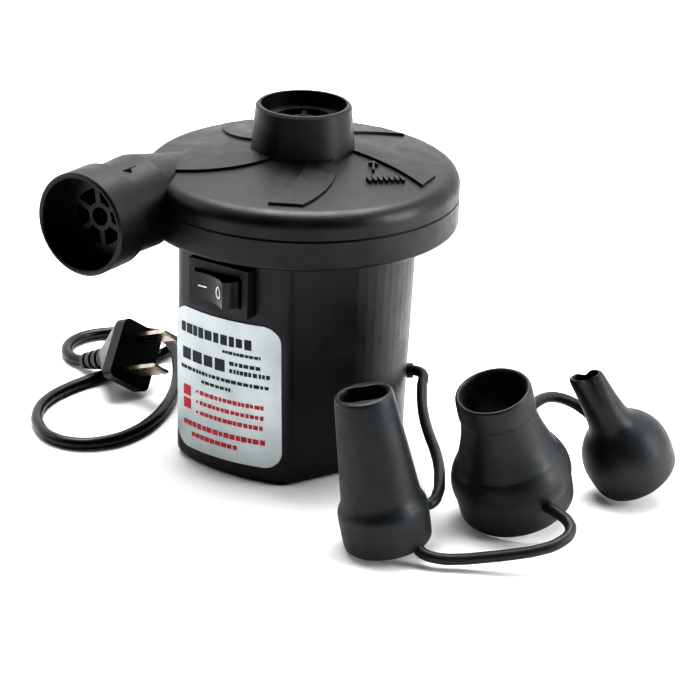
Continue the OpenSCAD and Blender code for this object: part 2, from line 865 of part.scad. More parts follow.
module armature_core() color("#6a6e74") {
    slot_a = 360 / pole_count;
    difference() {
        translate([0, 0, core_z])
            cylinder(r = core_r, h = core_l);
        translate([0, 0, core_z - 1])
            cylinder(r = shaft_r, h = core_l + 2);
        for (i = [0:pole_count - 1])
            rotate([0, 0, i * slot_a]) {
                translate([core_r - 2, -0.8, core_z - 1])
                    cube([3, 1.6, core_l + 2]);
                translate([core_r - 4.6, 0, core_z - 1])
                    cylinder(r = 2.9, h = core_l + 2);
            }
    }
}

module armature_windings() color("#b5652b") {
    slot_a = 360 / pole_count;
    end_l = 2.6;
    for (z = [core_z - end_l, core_z + core_l])
        translate([0, 0, z])
            difference() {
                cylinder(r = core_r - 1.6, h = end_l);
                translate([0, 0, -1])
                    cylinder(r = shaft_r + 1.2, h = end_l + 2);
            }
    for (i = [0:pole_count - 1])
        rotate([0, 0, i * slot_a])
            translate([core_r - 4.6, 0, core_z - 0.5])
                cylinder(r = 2.6, h = core_l + 1);
}

module commutator() color("#b87333")
    difference() {
        translate([0, 0, commutator_z])
            cylinder(r = commutator_r, h = commutator_l);
        translate([0, 0, commutator_z - 1])
            cylinder(r = shaft_r, h = commutator_l + 2);
        for (i = [0:pole_count - 1])
            rotate([0, 0, i * 360 / pole_count + 18])
                translate([commutator_r - 0.6, -0.2, commutator_z - 1])
                    cube([2, 0.4, commutator_l + 2]);
    }

// Fan with blades that lean back from the way it turns
module impeller() color("#e6e4dc") {
    difference() {
        union() {
            translate([0, 0, fan_base_z])
                cylinder(r = fan_r, h = fan_base_t);
            translate([0, 0, fan_base_z])
                cylinder(r = fan_hub_r, h = hub_top_z - fan_base_z);
            intersection() {
                for (i = [0:fan_blades - 1])
                    rotate([0, 0, 360 * i / fan_blades])
                        translate([8, -6, fan_base_z])
                            rotate([0, 0, 14])
                                cube([fan_r, fan_blade_t, 40]);
                rotate_extrude()
                    polygon([[8, fan_base_z], [fan_r - 0.4, fan_base_z], [fan_r - 0.4, fan_rim_top_z],
                        [inlet_r_foot, fan_eye_top_z], [8, fan_base_z + 6]]);
            }
        }
        translate([0, 0, fan_base_z - 1])
            cylinder(r = shaft_r + 1.2, h = 40);
    }
}

module impeller_hub() color("#c9a84c")
    difference() {
        translate([0, 0, fan_base_z])
            cylinder(r = shaft_r + 1.2, h = hub_top_z - fan_base_z - 1);
        translate([0, 0, fan_base_z - 1])
            cylinder(r = shaft_r, h = 20);
    }

// ------------------------------------------------------------ electrics

module rectifier_board() color("#2f6b3a")
    difference() {
        translate([-board_w / 2, -board_d / 2, board_z])
            cube([board_w, board_d, board_t]);
        for (side = [-1, 1])
            translate([side * board_screw_x, 0, board_z - 1])
                cylinder(r = screw_shank_r + fit_gap, h = board_t + 2);
    }

module board_screws() color("#c8c8c8")
    for (side = [-1, 1])
        translate([side * board_screw_x, 0, board_z + board_t])
            screw(2.2, 1.2, screw_pilot_r, 5);

module diodes() color("#1a1a1a")
    for (i = [0:3])
        translate([-8 + i * 4, -7, board_z + board_t + diode_r])
            rotate([-90, 0, 0])
                cylinder(r = diode_r, h = diode_l);

module capacitor() color("#3a5f8a")
    translate([0, 5.6, board_z + board_t])
        cylinder(r = 3.6, h = 5);

// Case of the rocker switch, open to the front
module switch_body() color("#15171a") {
    outer_w = rocker_w + 2 * pocket_gap - 2 * fit_gap;
    outer_h = rocker_h + 2 * pocket_gap - 2 * fit_gap;
    inner_w = outer_w - 2 * switch_wall;
    inner_h = outer_h - 2 * switch_wall;
    back_y = boss_face_y + 8;
    difference() {
        translate([switch_x - outer_w / 2, back_y, switch_z - outer_h / 2])
            cube([outer_w, switch_depth, outer_h]);
        translate([switch_x - inner_w / 2, back_y - 1, switch_z - inner_h / 2])
            cube([inner_w, 5, inner_h]);
    }
}

module switch_terminals() color("#d0a848")
    for (side = [-1, 1])
        translate([switch_x + side * 5 - 2.4, boss_face_y + 8 + switch_depth, switch_z - 0.4])
            cube([4.8, 5, 0.8]);

// Side view of the rocker, with its hollow face; the pivot is at the origin
module rocker_section()
    difference() {
        polygon([[-12, 9], [-12, -1], [-3, -2.6], [3, -2.6], [12, -1], [12, 9]]);
        translate([0, rocker_face_v])
            circle(r = rocker_face_r, $fn = 180);
    }

// At rest the left end is pressed in and the right end stands out
module rocker_pose()
    translate([switch_x, pivot_y, switch_z])
        rotate([0, 0, -rocker_turn / 2])
            children();

module rocker() color("#202428")
    intersection() {
        rocker_pose()
            translate([0, 0, -rocker_h / 2])
                linear_extrude(rocker_h)
                    mirror([0, 1])
                        rocker_section();
        translate([switch_x, pivot_y, switch_z - rocker_h])
            cylinder(r = rocker_sweep_r, h = 2 * rocker_h);
    }

module rocker_marks() color("white")
    rocker_pose()
        intersection() {
            translate([0, 0, -rocker_h / 2])
                linear_extrude(rocker_h)
                    mirror([0, 1])
                        translate([0, rocker_face_v])
                            difference() {
                                circle(r = rocker_face_r, $fn = 180);
                                circle(r = rocker_face_r - mark_t, $fn = 180);
                            }
            union() {
                translate([-5.4, -12, -0.3])
                    cube([3.2, 12, 0.6]);
                translate([3.7, 0, 0])
                    rotate([90, 0, 0])
                        linear_extrude(12)
                            difference() {
                                scale([0.68, 1])
                                    circle(r = 2.1);
                                scale([0.6, 1])
                                    circle(r = 1.5);
                            }
            }
        }

module lead_wire(route) sweep(route, 0.8, 8);

module switch_leads() color("#b03a2e")
    for (side = [-1, 1])
        lead_wire([
            [switch_x + side * 5, boss_face_y + 12.8 + switch_depth, switch_z - 1.2],
            [switch_x + side * 7, -20.6, switch_z - 8], [side * 11 - 4, -22.5, switch_z - 18],
            [side * 12 - 4, -23.5, 34], [side * 12 - 3, -22, 22], [side * 11, -14, 15],
            [side * 9, -9.6, board_z + board_t + 0.9]
        ]);

module motor_leads() color("#33475b")
    for (side = [-1, 1])
        lead_wire([
            [side * 14, 1.2, cap_z - 6], [side * 15, 5, cap_z - 8], [side * 13, 8, board_z + 6],
            [side * 9, 9, board_z + board_t + 0.9]
        ]);

// --------------------------------------------------------------- label

module label_plate() color("#c3cacd") {
    cy = panel_arc_r - panel_front;
    intersection() {
        difference() {
            translate([0, cy, 0])
                cylinder(r = panel_arc_r + label_t, h = body_h, $fn = 360);
            translate([0, cy, -1])
                cylinder(r = panel_arc_r, h = body_h + 2, $fn = 360);
        }
        translate([label_x, 0, label_z + label_h / 2])
            rotate([90, -label_turn, 0])
                rounded_plate(label_w, label_h, label_corner_r, panel_front + 10);
    }
}

module rounded_plate(w, h, r, t) {
    linear_extrude(t) {
        square([w - 2 * r, h], center = true);
        square([w, h - 2 * r], center = true);
        for (x = [-1, 1])
            for (y = [-1, 1])
                translate([x * (w / 2 - r), y * (h / 2 - r)])
                    circle(r = r);
    }
}

// ---------------------------------------------------------- mains lead

module gland_axis()
    translate([0, 0, gland_z])
        rotate([0, 0, gland_angle])
            rotate([0, 90, 0])
                children();

module cord_gland() color("#16181a")
    gland_axis()
        difference() {
            union() {
                translate([0, 0, gland_wall_r - wall - 3])
                    cylinder(r = gland_r_root - 1 - fit_gap, h = wall + 5);
                translate([0, 0, gland_wall_r - wall - 3])
                    cylinder(r = gland_r_root + 0.6, h = 2);
                translate([0, 0, gland_wall_r + 0.3])
                    cylinder(r1 = gland_r_root + 0.6, r2 = gland_r_tip, h = gland_l - 0.3);
            }
            translate([0, 0, gland_wall_r - wall - 4])
                cylinder(r = cord_r, h = gland_l + 10);
            for (i = [0:3])
                translate([0, 0, gland_wall_r + 5 + i * 4])
                    difference() {
                        cylinder(r = gland_r_root + 2, h = 1.2);
                        translate([0, 0, -1])
                            cylinder(r = cord_r + 0.7, h = 4);
                    }
        }

clamp_at = 27;
clamp_post_x = 6;

module clamp_frame()
    rotate([0, 0, gland_angle - 90])
        translate([0, clamp_at, 0])
            children();

module clamp_post(side)
    clamp_frame()
        translate([side * clamp_post_x, 0, 0.6])
            cylinder(r = 2.6, h = gland_z - cord_r - 0.6);

module clamp_pilot(side)
    clamp_frame()
        translate([side * clamp_post_x, 0, floor_t])
            cylinder(r = screw_pilot_r, h = gland_z);

module cord_clamp() color("#2b2f33")
    clamp_frame()
        difference() {
            translate([-clamp_post_x - 2.6, -2.5, gland_z - cord_r])
                cube([2 * clamp_post_x + 5.2, 5, cord_d + 1.6]);
            translate([0, -3, gland_z])
                rotate([-90, 0, 0])
                    cylinder(r = cord_r, h = 6);
            translate([-cord_r, -3, gland_z - cord_r - 1])
                cube([cord_d, 6, cord_r + 1]);
            for (side = [-1, 1])
                translate([side * clamp_post_x, 0, gland_z - cord_r - 1])
                    cylinder(r = screw_shank_r + fit_gap, h = cord_d + 4);
        }

module clamp_screws() color("#c8c8c8")
    clamp_frame()
        for (side = [-1, 1])
            translate([side * clamp_post_x, 0, gland_z + cord_r + 1.6])
                screw(2.2, 1.2, screw_pilot_r, cord_d + 4);

// The lead from the bend relief's mouth to its cut end over the board
module cord_tail() color("#17191b")
    gland_axis()
        translate([0, 0, 19])
            cylinder(r = cord_r, h = gland_wall_r + gland_l - 19);

module cord_lead() color("#17191b") sweep(lead_route, cord_r, 10);

// The run stops flush with the root of the plug's bend relief
module cord_run() color("#17191b")
    difference() {
        sweep(run_route, cord_r, 10);
        plug_frame()
            translate([-0.02, 0, 0])
                rotate([0, 90, 0])
                    cylinder(r = cord_r + 1.5, h = 5);
    }

module cord_coil() color("#17191b")
    translate([coil_centre[0], coil_centre[1], 0])
        rotate_extrude()
            difference() {
                translate([coil_r_in, 0])
                    square([coil_r_out - coil_r_in, coil_layers * cord_d]);
                for (x = [coil_r_in, coil_r_out])
                    for (z = [0, coil_layers * cord_d])
                        translate([x, z])
                            rotate([0, 0, 45])
                                square(cord_r * 0.7, center = true);
            }

module coil_tie() color("#101214")
    translate([coil_centre[0], coil_centre[1], 0])
        rotate([0, 0, 250])
            difference() {
                translate([coil_r_in - tie_t, -tie_w / 2, 0])
                    cube([coil_r_out - coil_r_in + 2 * tie_t, tie_w, coil_layers * cord_d + tie_t]);
                translate([coil_r_in - fit_gap, -tie_w, -1])
                    cube([coil_r_out - coil_r_in + 2 * fit_gap, 2 * tie_w, coil_layers * cord_d + 1 + fit_gap]);
            }

module plug_frame()
    translate(plug_at)
        rotate([0, 0, plug_turn[2]])
            rotate([0, plug_turn[1], 0])
                rotate([plug_turn[0], 0, 0])
                    children();

module plug_relief() color("#17191b")
    plug_frame()
        rotate([0, 90, 0])
            difference() {
                cylinder(r1 = cord_r + 0.8, r2 = cord_r + 2.4, h = plug_relief_l);
                for (i = [0:2])
                    translate([0, 0, 2.5 + i * 4])
                        difference() {
                            cylinder(r = cord_r + 4, h = 1.3);
                            translate([0, 0, -1])
                                cylinder(r = cord_r + 0.6, h = 4);
                        }
            }

// Moulded plug: a rounded wedge with a flat face
module plug_body() color("#17191b")
    plug_frame()
        difference() {
            hull() {
                translate([plug_relief_l, 0, 0])
                    rotate([0, 90, 0])
                        cylinder(r = cord_r + 3.2, h = 1, $fn = 32);
                for (y = [-1, 1])
                    for (z = [-1, 1])
                        translate([plug_relief_l + plug_l - 5, y * (plug_face_w / 2 - 2.4), z * (plug_face_h / 2 - 2.4)])
                            rotate([0, 90, 0])
                                cylinder(r = 2.4, h = 5, $fn = 32);
            }
            for (side = [-1, 1])
                translate([plug_relief_l + plug_l - blade_root - 0.05, -blade_w / 2 - 0.05,
                    side * blade_gap / 2 - blade_t / 2 - 0.05])
                    cube([blade_root + 1, blade_w + 0.1, blade_t + 0.1]);
        }

module plug_blades() color("#b9b4a4")
    plug_frame()
        for (side = [-1, 1])
            translate([plug_relief_l + plug_l, 0, side * blade_gap / 2])
                rotate([-90, 0, 0])
                    translate([0, 0, -blade_w / 2])
                        linear_extrude(blade_w)
                            translate([-blade_root, -blade_t / 2])
                                polygon([[0, 0], [blade_l + blade_root - blade_chamfer, 0],
                                    [blade_l + blade_root, blade_t * 0.3], [blade_l + blade_root, blade_t * 0.7],
                                    [blade_l + blade_root - blade_chamfer, blade_t], [0, blade_t]]);

// ------------------------------------------------------------- nozzles

module tether_stud() color("#1c1f22")
    rotate([0, 0, stud_angle])
        translate([body_r(stud_z) - 1.5, 0, stud_z])
            rotate([0, 90, 0]) {
                translate([0, 0, -2.4])
                    cylinder(r = 1.4, h = 5);
                translate([0, 0, 1.7])
                    cylinder(r = 2.6, h = stud_l);
            }

module tether(route) color("#23272b") sweep(route, tether_r, 8);

module tether_1() tether(route_1);

module tether_2() tether(route_2);

module tether_3() tether(route_3);

// Tall nozzle: a socket, a shoulder and a long taper
module tall_nozzle() color("#23272b") {
    out_r = tall_socket_r + nozzle_wall;
    translate(tall_at)
        rotate(tall_tilt)
            rotate_extrude()
                polygon([
                    [tall_socket_r, 0], [out_r - nozzle_foot_round, 0], [out_r - 0.3, nozzle_foot_round],
                    [out_r, tall_socket_l - 1], [out_r - 0.4, tall_socket_l + 0.6],
                    [tall_shoulder_r, tall_socket_l + 3], [tall_tip_r, tall_l - 1], [tall_tip_r - 0.8, tall_l],
                    [tall_tip_r - nozzle_wall, tall_l], [tall_socket_r - nozzle_wall - 0.5, tall_socket_l + 2.5],
                    [tall_socket_r, tall_socket_l]
                ]);
}

// Wide nozzle: a bell that fits the pump's tubes, and a collar for the others
module wide_nozzle() color("#23272b") {
    out_r = wide_socket_r + nozzle_wall + 0.3;
    collar_z = wide_l - wide_collar_l;
    translate(wide_at)
        rotate(wide_tilt)
            rotate_extrude()
                polygon([
                    [wide_socket_r, 0], [out_r - 2, 0], [out_r - 0.9, 1.2], [out_r - 0.1, 9],
                    [out_r, 11], [out_r - 0.6, 14], [out_r - 2.2, 18], [out_r - 4.2, 22],
                    [wide_waist_r + 1.6, 26.4], [wide_waist_r + 0.5, 31], [wide_waist_r, collar_z - 0.6],
                    [wide_collar_r, collar_z], [wide_collar_r, wide_l - 1], [wide_collar_r - 0.9, wide_l],
                    [wide_collar_r - nozzle_wall, wide_l - 0.4], [wide_collar_r - nozzle_wall, collar_z - 8],
                    [wide_socket_r - 2.6, wide_socket_l + 6], [wide_socket_r, wide_socket_l]
                ]);
}

// Pinch nozzle: a round socket with a thin spout
module pinch_nozzle() color("#23272b") {
    translate(pinch_at)
        rotate(pinch_tilt)
            rotate_extrude()
                polygon(concat(
                    [[pinch_socket_r, 0]],
                    [[pinch_bulb_r - 2, 0], [pinch_bulb_r - 0.7, 2.6]],
                    arc_points([pinch_bulb_r - 14, 9], 14, -12, 62, 9),
                    [[pinch_spout_r + 0.9, 23.6], [pinch_spout_r, 26.5], [pinch_tip_r, pinch_l - 0.6],
                        [pinch_tip_r - 0.5, pinch_l], [pinch_tip_r - 1.3, pinch_l],
                        [pinch_spout_r - nozzle_wall, 26], [pinch_spout_r - nozzle_wall, 21],
                        [pinch_socket_r - 3, pinch_socket_l + 6], [pinch_socket_r, pinch_socket_l]]
                ));
}

lower_housing();
upper_cover();
outlet_grille();
plate_gasket();
motor_plate();
plate_screws();
cover_screws();
motor_can();
motor_screws();
field_magnets();
upper_bearing();
lower_bearing();
end_cap();
carbon_brushes();
brush_springs();
motor_terminals();
rectifier_board();
diodes();
capacitor();
board_screws();
switch_body();
switch_terminals();
switch_leads();
motor_leads();
label_plate();
cord_gland();
cord_clamp();
clamp_screws();
cord_tail();
tether_stud();
cord_lead();
cord_coil();
coil_tie();
cord_run();
plug_relief();
plug_body();
plug_blades();
motor_shaft();
armature_core();
armature_windings();
commutator();
impeller();
impeller_hub();
rocker();
rocker_marks();
tall_nozzle();
tether_1();
wide_nozzle();
tether_2();
pinch_nozzle();
tether_3();
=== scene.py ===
"""Looks of a hand-held electric air pump.

It has a mains lead with a plug, and three soft nozzles on tethers.
"""

import math
import random

import bmesh
import bpy
from mathutils import Matrix, Vector


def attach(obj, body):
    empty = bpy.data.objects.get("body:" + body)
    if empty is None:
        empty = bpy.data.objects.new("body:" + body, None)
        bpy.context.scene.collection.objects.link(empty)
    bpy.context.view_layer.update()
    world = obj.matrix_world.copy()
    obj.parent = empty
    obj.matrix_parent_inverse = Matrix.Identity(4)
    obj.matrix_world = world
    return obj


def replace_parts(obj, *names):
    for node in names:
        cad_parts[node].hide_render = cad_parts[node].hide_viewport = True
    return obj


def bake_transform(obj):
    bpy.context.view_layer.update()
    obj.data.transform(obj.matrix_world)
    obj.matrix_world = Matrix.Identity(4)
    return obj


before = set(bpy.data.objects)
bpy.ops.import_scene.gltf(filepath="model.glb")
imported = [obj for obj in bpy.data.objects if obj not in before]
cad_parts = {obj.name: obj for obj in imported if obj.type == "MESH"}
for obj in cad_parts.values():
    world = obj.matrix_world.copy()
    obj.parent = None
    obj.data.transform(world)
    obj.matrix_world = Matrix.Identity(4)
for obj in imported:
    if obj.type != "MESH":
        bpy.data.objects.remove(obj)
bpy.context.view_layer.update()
MM = 0.001


# ------------------------------------------------------------ materials


def linear(hex_code):
    """sRGB hex to linear RGBA."""
    channels = [int(hex_code[i : i + 2], 16) / 255 for i in (1, 3, 5)]
    return [
        c / 12.92 if c <= 0.04045 else ((c + 0.055) / 1.055) ** 2.4 for c in channels
    ] + [1.0]


def add(tree, kind, settings=None, links=None):
    """Adds a node. settings go to attributes or sockets, links to sockets."""
    made = tree.nodes.new("ShaderNode" + kind)
    for key, value in (settings or {}).items():
        if isinstance(key, str) and hasattr(made, key):
            setattr(made, key, value)
        else:
            made.inputs[key].default_value = value
    for key, source in (links or {}).items():
        tree.links.new(source, made.inputs[key])
    return made


def surface(name, dark, light, gloss, grain, patch_mm=14, lie=(1, 1, 1), **sockets):
    """A finish with patches of colour, uneven gloss and a fine relief.

    gloss is the least and the greatest roughness. grain is the relief's size
    and depth in mm, and its strength. lie draws the gloss marks and the relief
    out along an axis, as brushing, rolling or turning does.
    """
    material = bpy.data.materials.new(name)
    material.use_nodes = True
    tree = material.node_tree
    shader = tree.nodes["Principled BSDF"]
    for key, value in sockets.items():
        shader.inputs[key.replace("_", " ")].default_value = value
    place = add(tree, "TexCoord").outputs["Object"]
    drawn = add(tree, "Mapping", {"Scale": lie}, {"Vector": place}).outputs["Vector"]
    grain_mm, depth_mm, strength = grain

    patches = add(
        tree,
        "TexNoise",
        {"Scale": 1 / (patch_mm * MM), "Detail": 4.0, "Roughness": 0.6},
        {"Vector": place},
    )
    ramp = add(tree, "ValToRGB", links={"Fac": patches.outputs["Fac"]})
    ends = ramp.color_ramp.elements
    ends[0].position, ends[1].position = 0.3, 0.7
    ends[0].color, ends[1].color = linear(dark), linear(light)
    tree.links.new(ramp.outputs["Color"], shader.inputs["Base Color"])

    scuffs = add(
        tree,
        "TexNoise",
        {"Scale": 2.8 / (patch_mm * MM), "Detail": 5.0, "Roughness": 0.65},
        {"Vector": drawn},
    )
    spread = add(
        tree,
        "MapRange",
        {"From Min": 0.3, "From Max": 0.7, "To Min": gloss[0], "To Max": gloss[1]},
        {"Value": scuffs.outputs["Fac"]},
    )
    tree.links.new(spread.outputs["Result"], shader.inputs["Roughness"])

    fine = add(
        tree,
        "TexNoise",
        {"Scale": 1 / (grain_mm * MM), "Detail": 2.0, "Roughness": 0.6},
        {"Vector": drawn},
    )
    bump = add(
        tree,
        "Bump",
        {"Strength": strength, "Distance": depth_mm * MM},
        {"Height": fine.outputs["Fac"]},
    )
    tree.links.new(bump.outputs["Normal"], shader.inputs["Normal"])
    return material


# Moulded ABS from a spark-eroded tool: a fine even grain that breaks the light
# into a soft satin. The real grain is 0.1 mm; it is drawn at 0.5 mm to show.
ABS = surface(
    "spark_eroded_abs", "#0c0d0f", "#131517", (0.34, 0.5), (0.5, 0.06, 0.6), 22,
    IOR=1.54,
)  # fmt: skip
# Moulded ABS from a smoother tool, a little glossier
GUARD = surface(
    "guard_abs", "#0e1012", "#15181a", (0.3, 0.42), (0.6, 0.02, 0.5), IOR=1.54
)
# Moulded polyamide of the rocker: smooth, close to glossy
ROCKER = surface(
    "rocker_polyamide", "#0e1114", "#14181b", (0.24, 0.36), (0.9, 0.01, 0.5), 9,
    IOR=1.53,
)  # fmt: skip
# Moulded soft PVC: bluish black, dusty matte, with a faint sheen and slight
# waves where the wall shrank
PVC = surface(
    "soft_pvc", "#14181b", "#1f2428", (0.4, 0.58), (1.4, 0.05, 0.5), 12,
    IOR=1.53, Sheen_Weight=0.08, Sheen_Roughness=0.45,
)  # fmt: skip
# Extruded PVC sheath: smooth satin black with faint scuffs
CORD = surface(
    "cord_sheath", "#0b0c0d", "#131415", (0.26, 0.42), (1.1, 0.03, 0.4), 6, IOR=1.53
)
# Silver polyester label: a fine brushed lie that streaks the light
FILM = surface(
    "silver_film", "#a9b1b2", "#cbd1d2", (0.3, 0.46), (0.5, 0.01, 0.35), 30,
    (1, 1, 0.05), Metallic=0.3, IOR=1.5,
)  # fmt: skip
# Screen-printed ink: nearly flat, a little uneven in its cover
INK_FILM = (0.4, 0.005, 0.3)
INK_DARK = surface("label_ink_black", "#1d2124", "#2e3336", (0.45, 0.6), INK_FILM, 1)
INK_RED = surface("label_ink_red", "#a52a34", "#c4424c", (0.45, 0.6), INK_FILM, 1)
# Pad-printed white of the rocker's marks: the same thin film of ink
PAINT = surface("rocker_paint_white", "#dfe1e0", "#f2f3f2", (0.4, 0.55), INK_FILM, 1)
# Nickel-plated brass: bright, with a rolled lie along the blades
BLADE = surface(
    "nickel_plated_brass", "#aaa496", "#cdc7b8", (0.2, 0.36), (0.6, 0.01, 0.4), 7,
    (0.2, 1, 1), Metallic=1.0,
)  # fmt: skip
# Zinc-plated steel: cold grey, lightly drawn
ZINC = surface(
    "zinc_plated_steel", "#a9adb2", "#c3c7cb", (0.28, 0.42), (0.6, 0.01, 0.4), 7,
    (1, 0.1, 1), Metallic=1.0,
)  # fmt: skip
# Drawn steel of the motor's can: fine lines up its side
CAN = surface(
    "drawn_steel", "#83898e", "#9ba1a6", (0.3, 0.45), (0.6, 0.01, 0.4), 7,
    (1, 1, 0.05), Metallic=1.0,
)  # fmt: skip
# Sintered ferrite: dark, dull and granular
FERRITE = surface(
    "sintered_ferrite", "#35363a", "#44464a", (0.6, 0.75), (0.5, 0.03, 0.6), 5
)
# Sintered bronze: warm, porous and oily
BRONZE = surface(
    "sintered_bronze", "#8d6f36", "#aa8a4b", (0.4, 0.55), (0.4, 0.02, 0.5), 3,
    Metallic=1.0,
)  # fmt: skip
# Ground steel: bright, with rings round the shaft
SHAFT = surface(
    "ground_steel", "#b9bdc1", "#d3d6d9", (0.14, 0.24), (0.6, 0.005, 0.4), 7,
    (0.1, 0.1, 3), Metallic=1.0,
)  # fmt: skip
# Stamped core steel: thin layers one on another
LAMINATE = surface(
    "stamped_core_steel", "#5c6167", "#777d84", (0.4, 0.55), (0.6, 0.02, 0.5), 7,
    (0.05, 0.05, 1), Metallic=1.0,
)  # fmt: skip
# Enamelled copper wire: reddish brown under clear varnish
COPPER = surface(
    "enamelled_copper", "#8f4a1e", "#bf6b31", (0.25, 0.4), (0.6, 0.05, 0.6), 5,
    (1, 1, 0.1), Metallic=1.0,
)  # fmt: skip
# Stamped contact brass: yellow, with a fine even gleam
CONTACT = surface(
    "contact_brass", "#b08b3a", "#cfaa55", (0.25, 0.38), (0.6, 0.01, 0.4), 7,
    Metallic=1.0,
)  # fmt: skip
# Moulded parts of the inside, all smooth from a polished tool: a cream end cap,
# an uncoloured impeller, the lacquered board, the capacitor's shrunk sleeve
MOULDED = (0.6, 0.02, 0.5)
CREAM = surface("cream_polyamide", "#c9c3ae", "#d9d4c2", (0.4, 0.52), MOULDED)
NATURAL = surface("natural_abs", "#dcd9cd", "#e9e6dc", (0.3, 0.42), MOULDED)
BOARD = surface("board_solder_mask", "#1f5a2c", "#2b7439", (0.2, 0.32), MOULDED)
SLEEVE = surface("capacitor_sleeve", "#26486f", "#335c8a", (0.24, 0.34), MOULDED)
# Extruded PVC of the wires: evenly coloured, half glossy
RED_WIRE = surface("wire_pvc_red", "#8f2620", "#b03a2e", (0.35, 0.45), MOULDED)
BLUE_WIRE = surface("wire_pvc_blue", "#23364a", "#33506b", (0.35, 0.45), MOULDED)
# Foamed rubber: dull and open-celled
FOAM = surface("gasket_foam", "#232323", "#333333", (0.75, 0.9), (0.7, 0.15, 0.6))
# Pressed carbon: dull black with a faint gleam where it is worn
CARBON = surface("pressed_carbon", "#191919", "#262626", (0.5, 0.65), (0.5, 0.02, 0.5))

NODE_FINISH = {
    ABS: ["lower_housing", "upper_cover", "tether_stud", "cord_clamp"],
    GUARD: ["outlet_grille", "switch_body", "coil_tie", "diodes"],
    ROCKER: ["rocker"],
    PAINT: ["rocker_marks"],
    FILM: ["label_plate"],
    CORD: ["cord_gland", "cord_tail", "plug_relief", "plug_body"],
    BLADE: ["plug_blades"],
    ZINC: [
        "motor_plate",
        "plate_screws",
        "cover_screws",
        "motor_screws",
        "board_screws",
        "clamp_screws",
    ],
    CAN: ["motor_can"],
    FERRITE: ["field_magnets"],
    BRONZE: ["upper_bearing", "lower_bearing", "impeller_hub"],
    SHAFT: ["motor_shaft"],
    LAMINATE: ["armature_core"],
    COPPER: ["armature_windings", "commutator"],
    CONTACT: ["motor_terminals", "switch_terminals", "brush_springs"],
    CREAM: ["end_cap"],
    NATURAL: ["impeller"],
    BOARD: ["rectifier_board"],
    SLEEVE: ["capacitor"],
    RED_WIRE: ["switch_leads"],
    BLUE_WIRE: ["motor_leads"],
    FOAM: ["plate_gasket"],
    CARBON: ["carbon_brushes"],
}
for finish, names in NODE_FINISH.items():
    for node_name in names:
        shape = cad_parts[node_name].data
        if not shape.materials:
            shape.materials.append(finish)
        for index in range(len(shape.materials)):
            shape.materials[index] = finish


# ---------------------------------------------------------- mesh helpers


def finished(name, bm, material, body, smooth=True, levels=0):
    """Turns a bmesh, in metres in the frame, into a piece on a body.

    The floor has neither body nor slot.
    """
    mesh = bpy.data.meshes.new(name)
    bm.to_mesh(mesh)
    bm.free()
    piece = bpy.data.objects.new(name, mesh)
    bpy.context.scene.collection.objects.link(piece)
    mesh.materials.append(material)
    for face in mesh.polygons:
        face.use_smooth = smooth
    if levels:
        skin = piece.modifiers.new("skin", "SUBSURF")
        skin.levels = skin.render_levels = levels
    if body:
        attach(piece, body)
    return piece


CASE_CREASE = math.radians(24)


def smoothed(node, material):
    """Stands in for a CAD node of the pump with a merged, smooth-shaded copy.

    Edges that turn by less than CASE_CREASE shade as one surface, and sharper
    ones stay crisp.
    """
    bm = bmesh.new()
    bm.from_mesh(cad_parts[node].data)
    bmesh.ops.remove_doubles(bm, verts=bm.verts, dist=0.002 * MM)
    for edge in bm.edges:
        edge.smooth = edge.calc_face_angle(math.pi) < CASE_CREASE
    for face in bm.faces:
        face.material_index = 0
    piece = finished(node + "_shell", bm, material, "pump")
    even = piece.modifiers.new("even", "WEIGHTED_NORMAL")
    even.keep_sharp = True
    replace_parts(piece, node)


def turned(profile_mm, steps=48):
    """Closed (radius, height) loop in mm, spun about Z into a round shell."""
    bm = bmesh.new()
    points = [bm.verts.new((r * MM, 0, z * MM)) for r, z in profile_mm]
    ring = [bm.edges.new(pair) for pair in zip(points, points[1:] + points[:1])]
    bmesh.ops.spin(
        bm,
        geom=points + ring,
        axis=(0, 0, 1),
        cent=(0, 0, 0),
        angle=math.tau,
        steps=steps,
        use_merge=True,
    )
    bmesh.ops.remove_doubles(bm, verts=bm.verts, dist=1e-7)
    bmesh.ops.recalc_face_normals(bm, faces=bm.faces)
    return bm


def placed(at_mm, tilt_deg):
    """The place of a nozzle: turned about X, then about Y, then moved."""
    rx, ry = (math.radians(a) for a in tilt_deg)
    return (
        Matrix.Translation(Vector(at_mm) * MM)
        @ Matrix.Rotation(ry, 4, "Y")
        @ Matrix.Rotation(rx, 4, "X")
    )


def tube(name, points_mm, diameter_mm, material, sides=6):
    """Curve of one open spline through the points."""
    data = bpy.data.curves.new(name, "CURVE")
    data.dimensions = "3D"
    data.bevel_depth = diameter_mm / 2 * MM
    data.bevel_resolution = sides
    data.use_fill_caps = True
    data.resolution_u = 8
    line = data.splines.new("BEZIER")
    line.bezier_points.add(len(points_mm) - 1)
    for knot, point in zip(line.bezier_points, points_mm):
        knot.co = Vector(point) * MM
        knot.handle_left_type = knot.handle_right_type = "AUTO"
    data.materials.append(material)
    piece = bpy.data.objects.new(name, data)
    bpy.context.scene.collection.objects.link(piece)
    return piece


def as_mesh(piece):
    """Swaps a curve piece for its mesh; returns it and its centreline."""
    meshes = []
    depth = piece.data.bevel_depth
    for thickness in (0, depth):
        piece.data.bevel_depth = thickness
        bpy.context.view_layer.update()
        seen = piece.evaluated_get(bpy.context.evaluated_depsgraph_get())
        meshes.append(bpy.data.meshes.new_from_object(seen))
    line = [tuple(v.co) for v in meshes[0].vertices]
    name, old = piece.name, piece.data
    bpy.data.objects.remove(piece)
    bpy.data.curves.remove(old)
    solid = bpy.data.objects.new(name, meshes[1])
    bpy.context.scene.collection.objects.link(solid)
    return solid, line


smoothed("lower_housing", ABS)
smoothed("upper_cover", ABS)

# --------------------------------------------------------------- nozzles

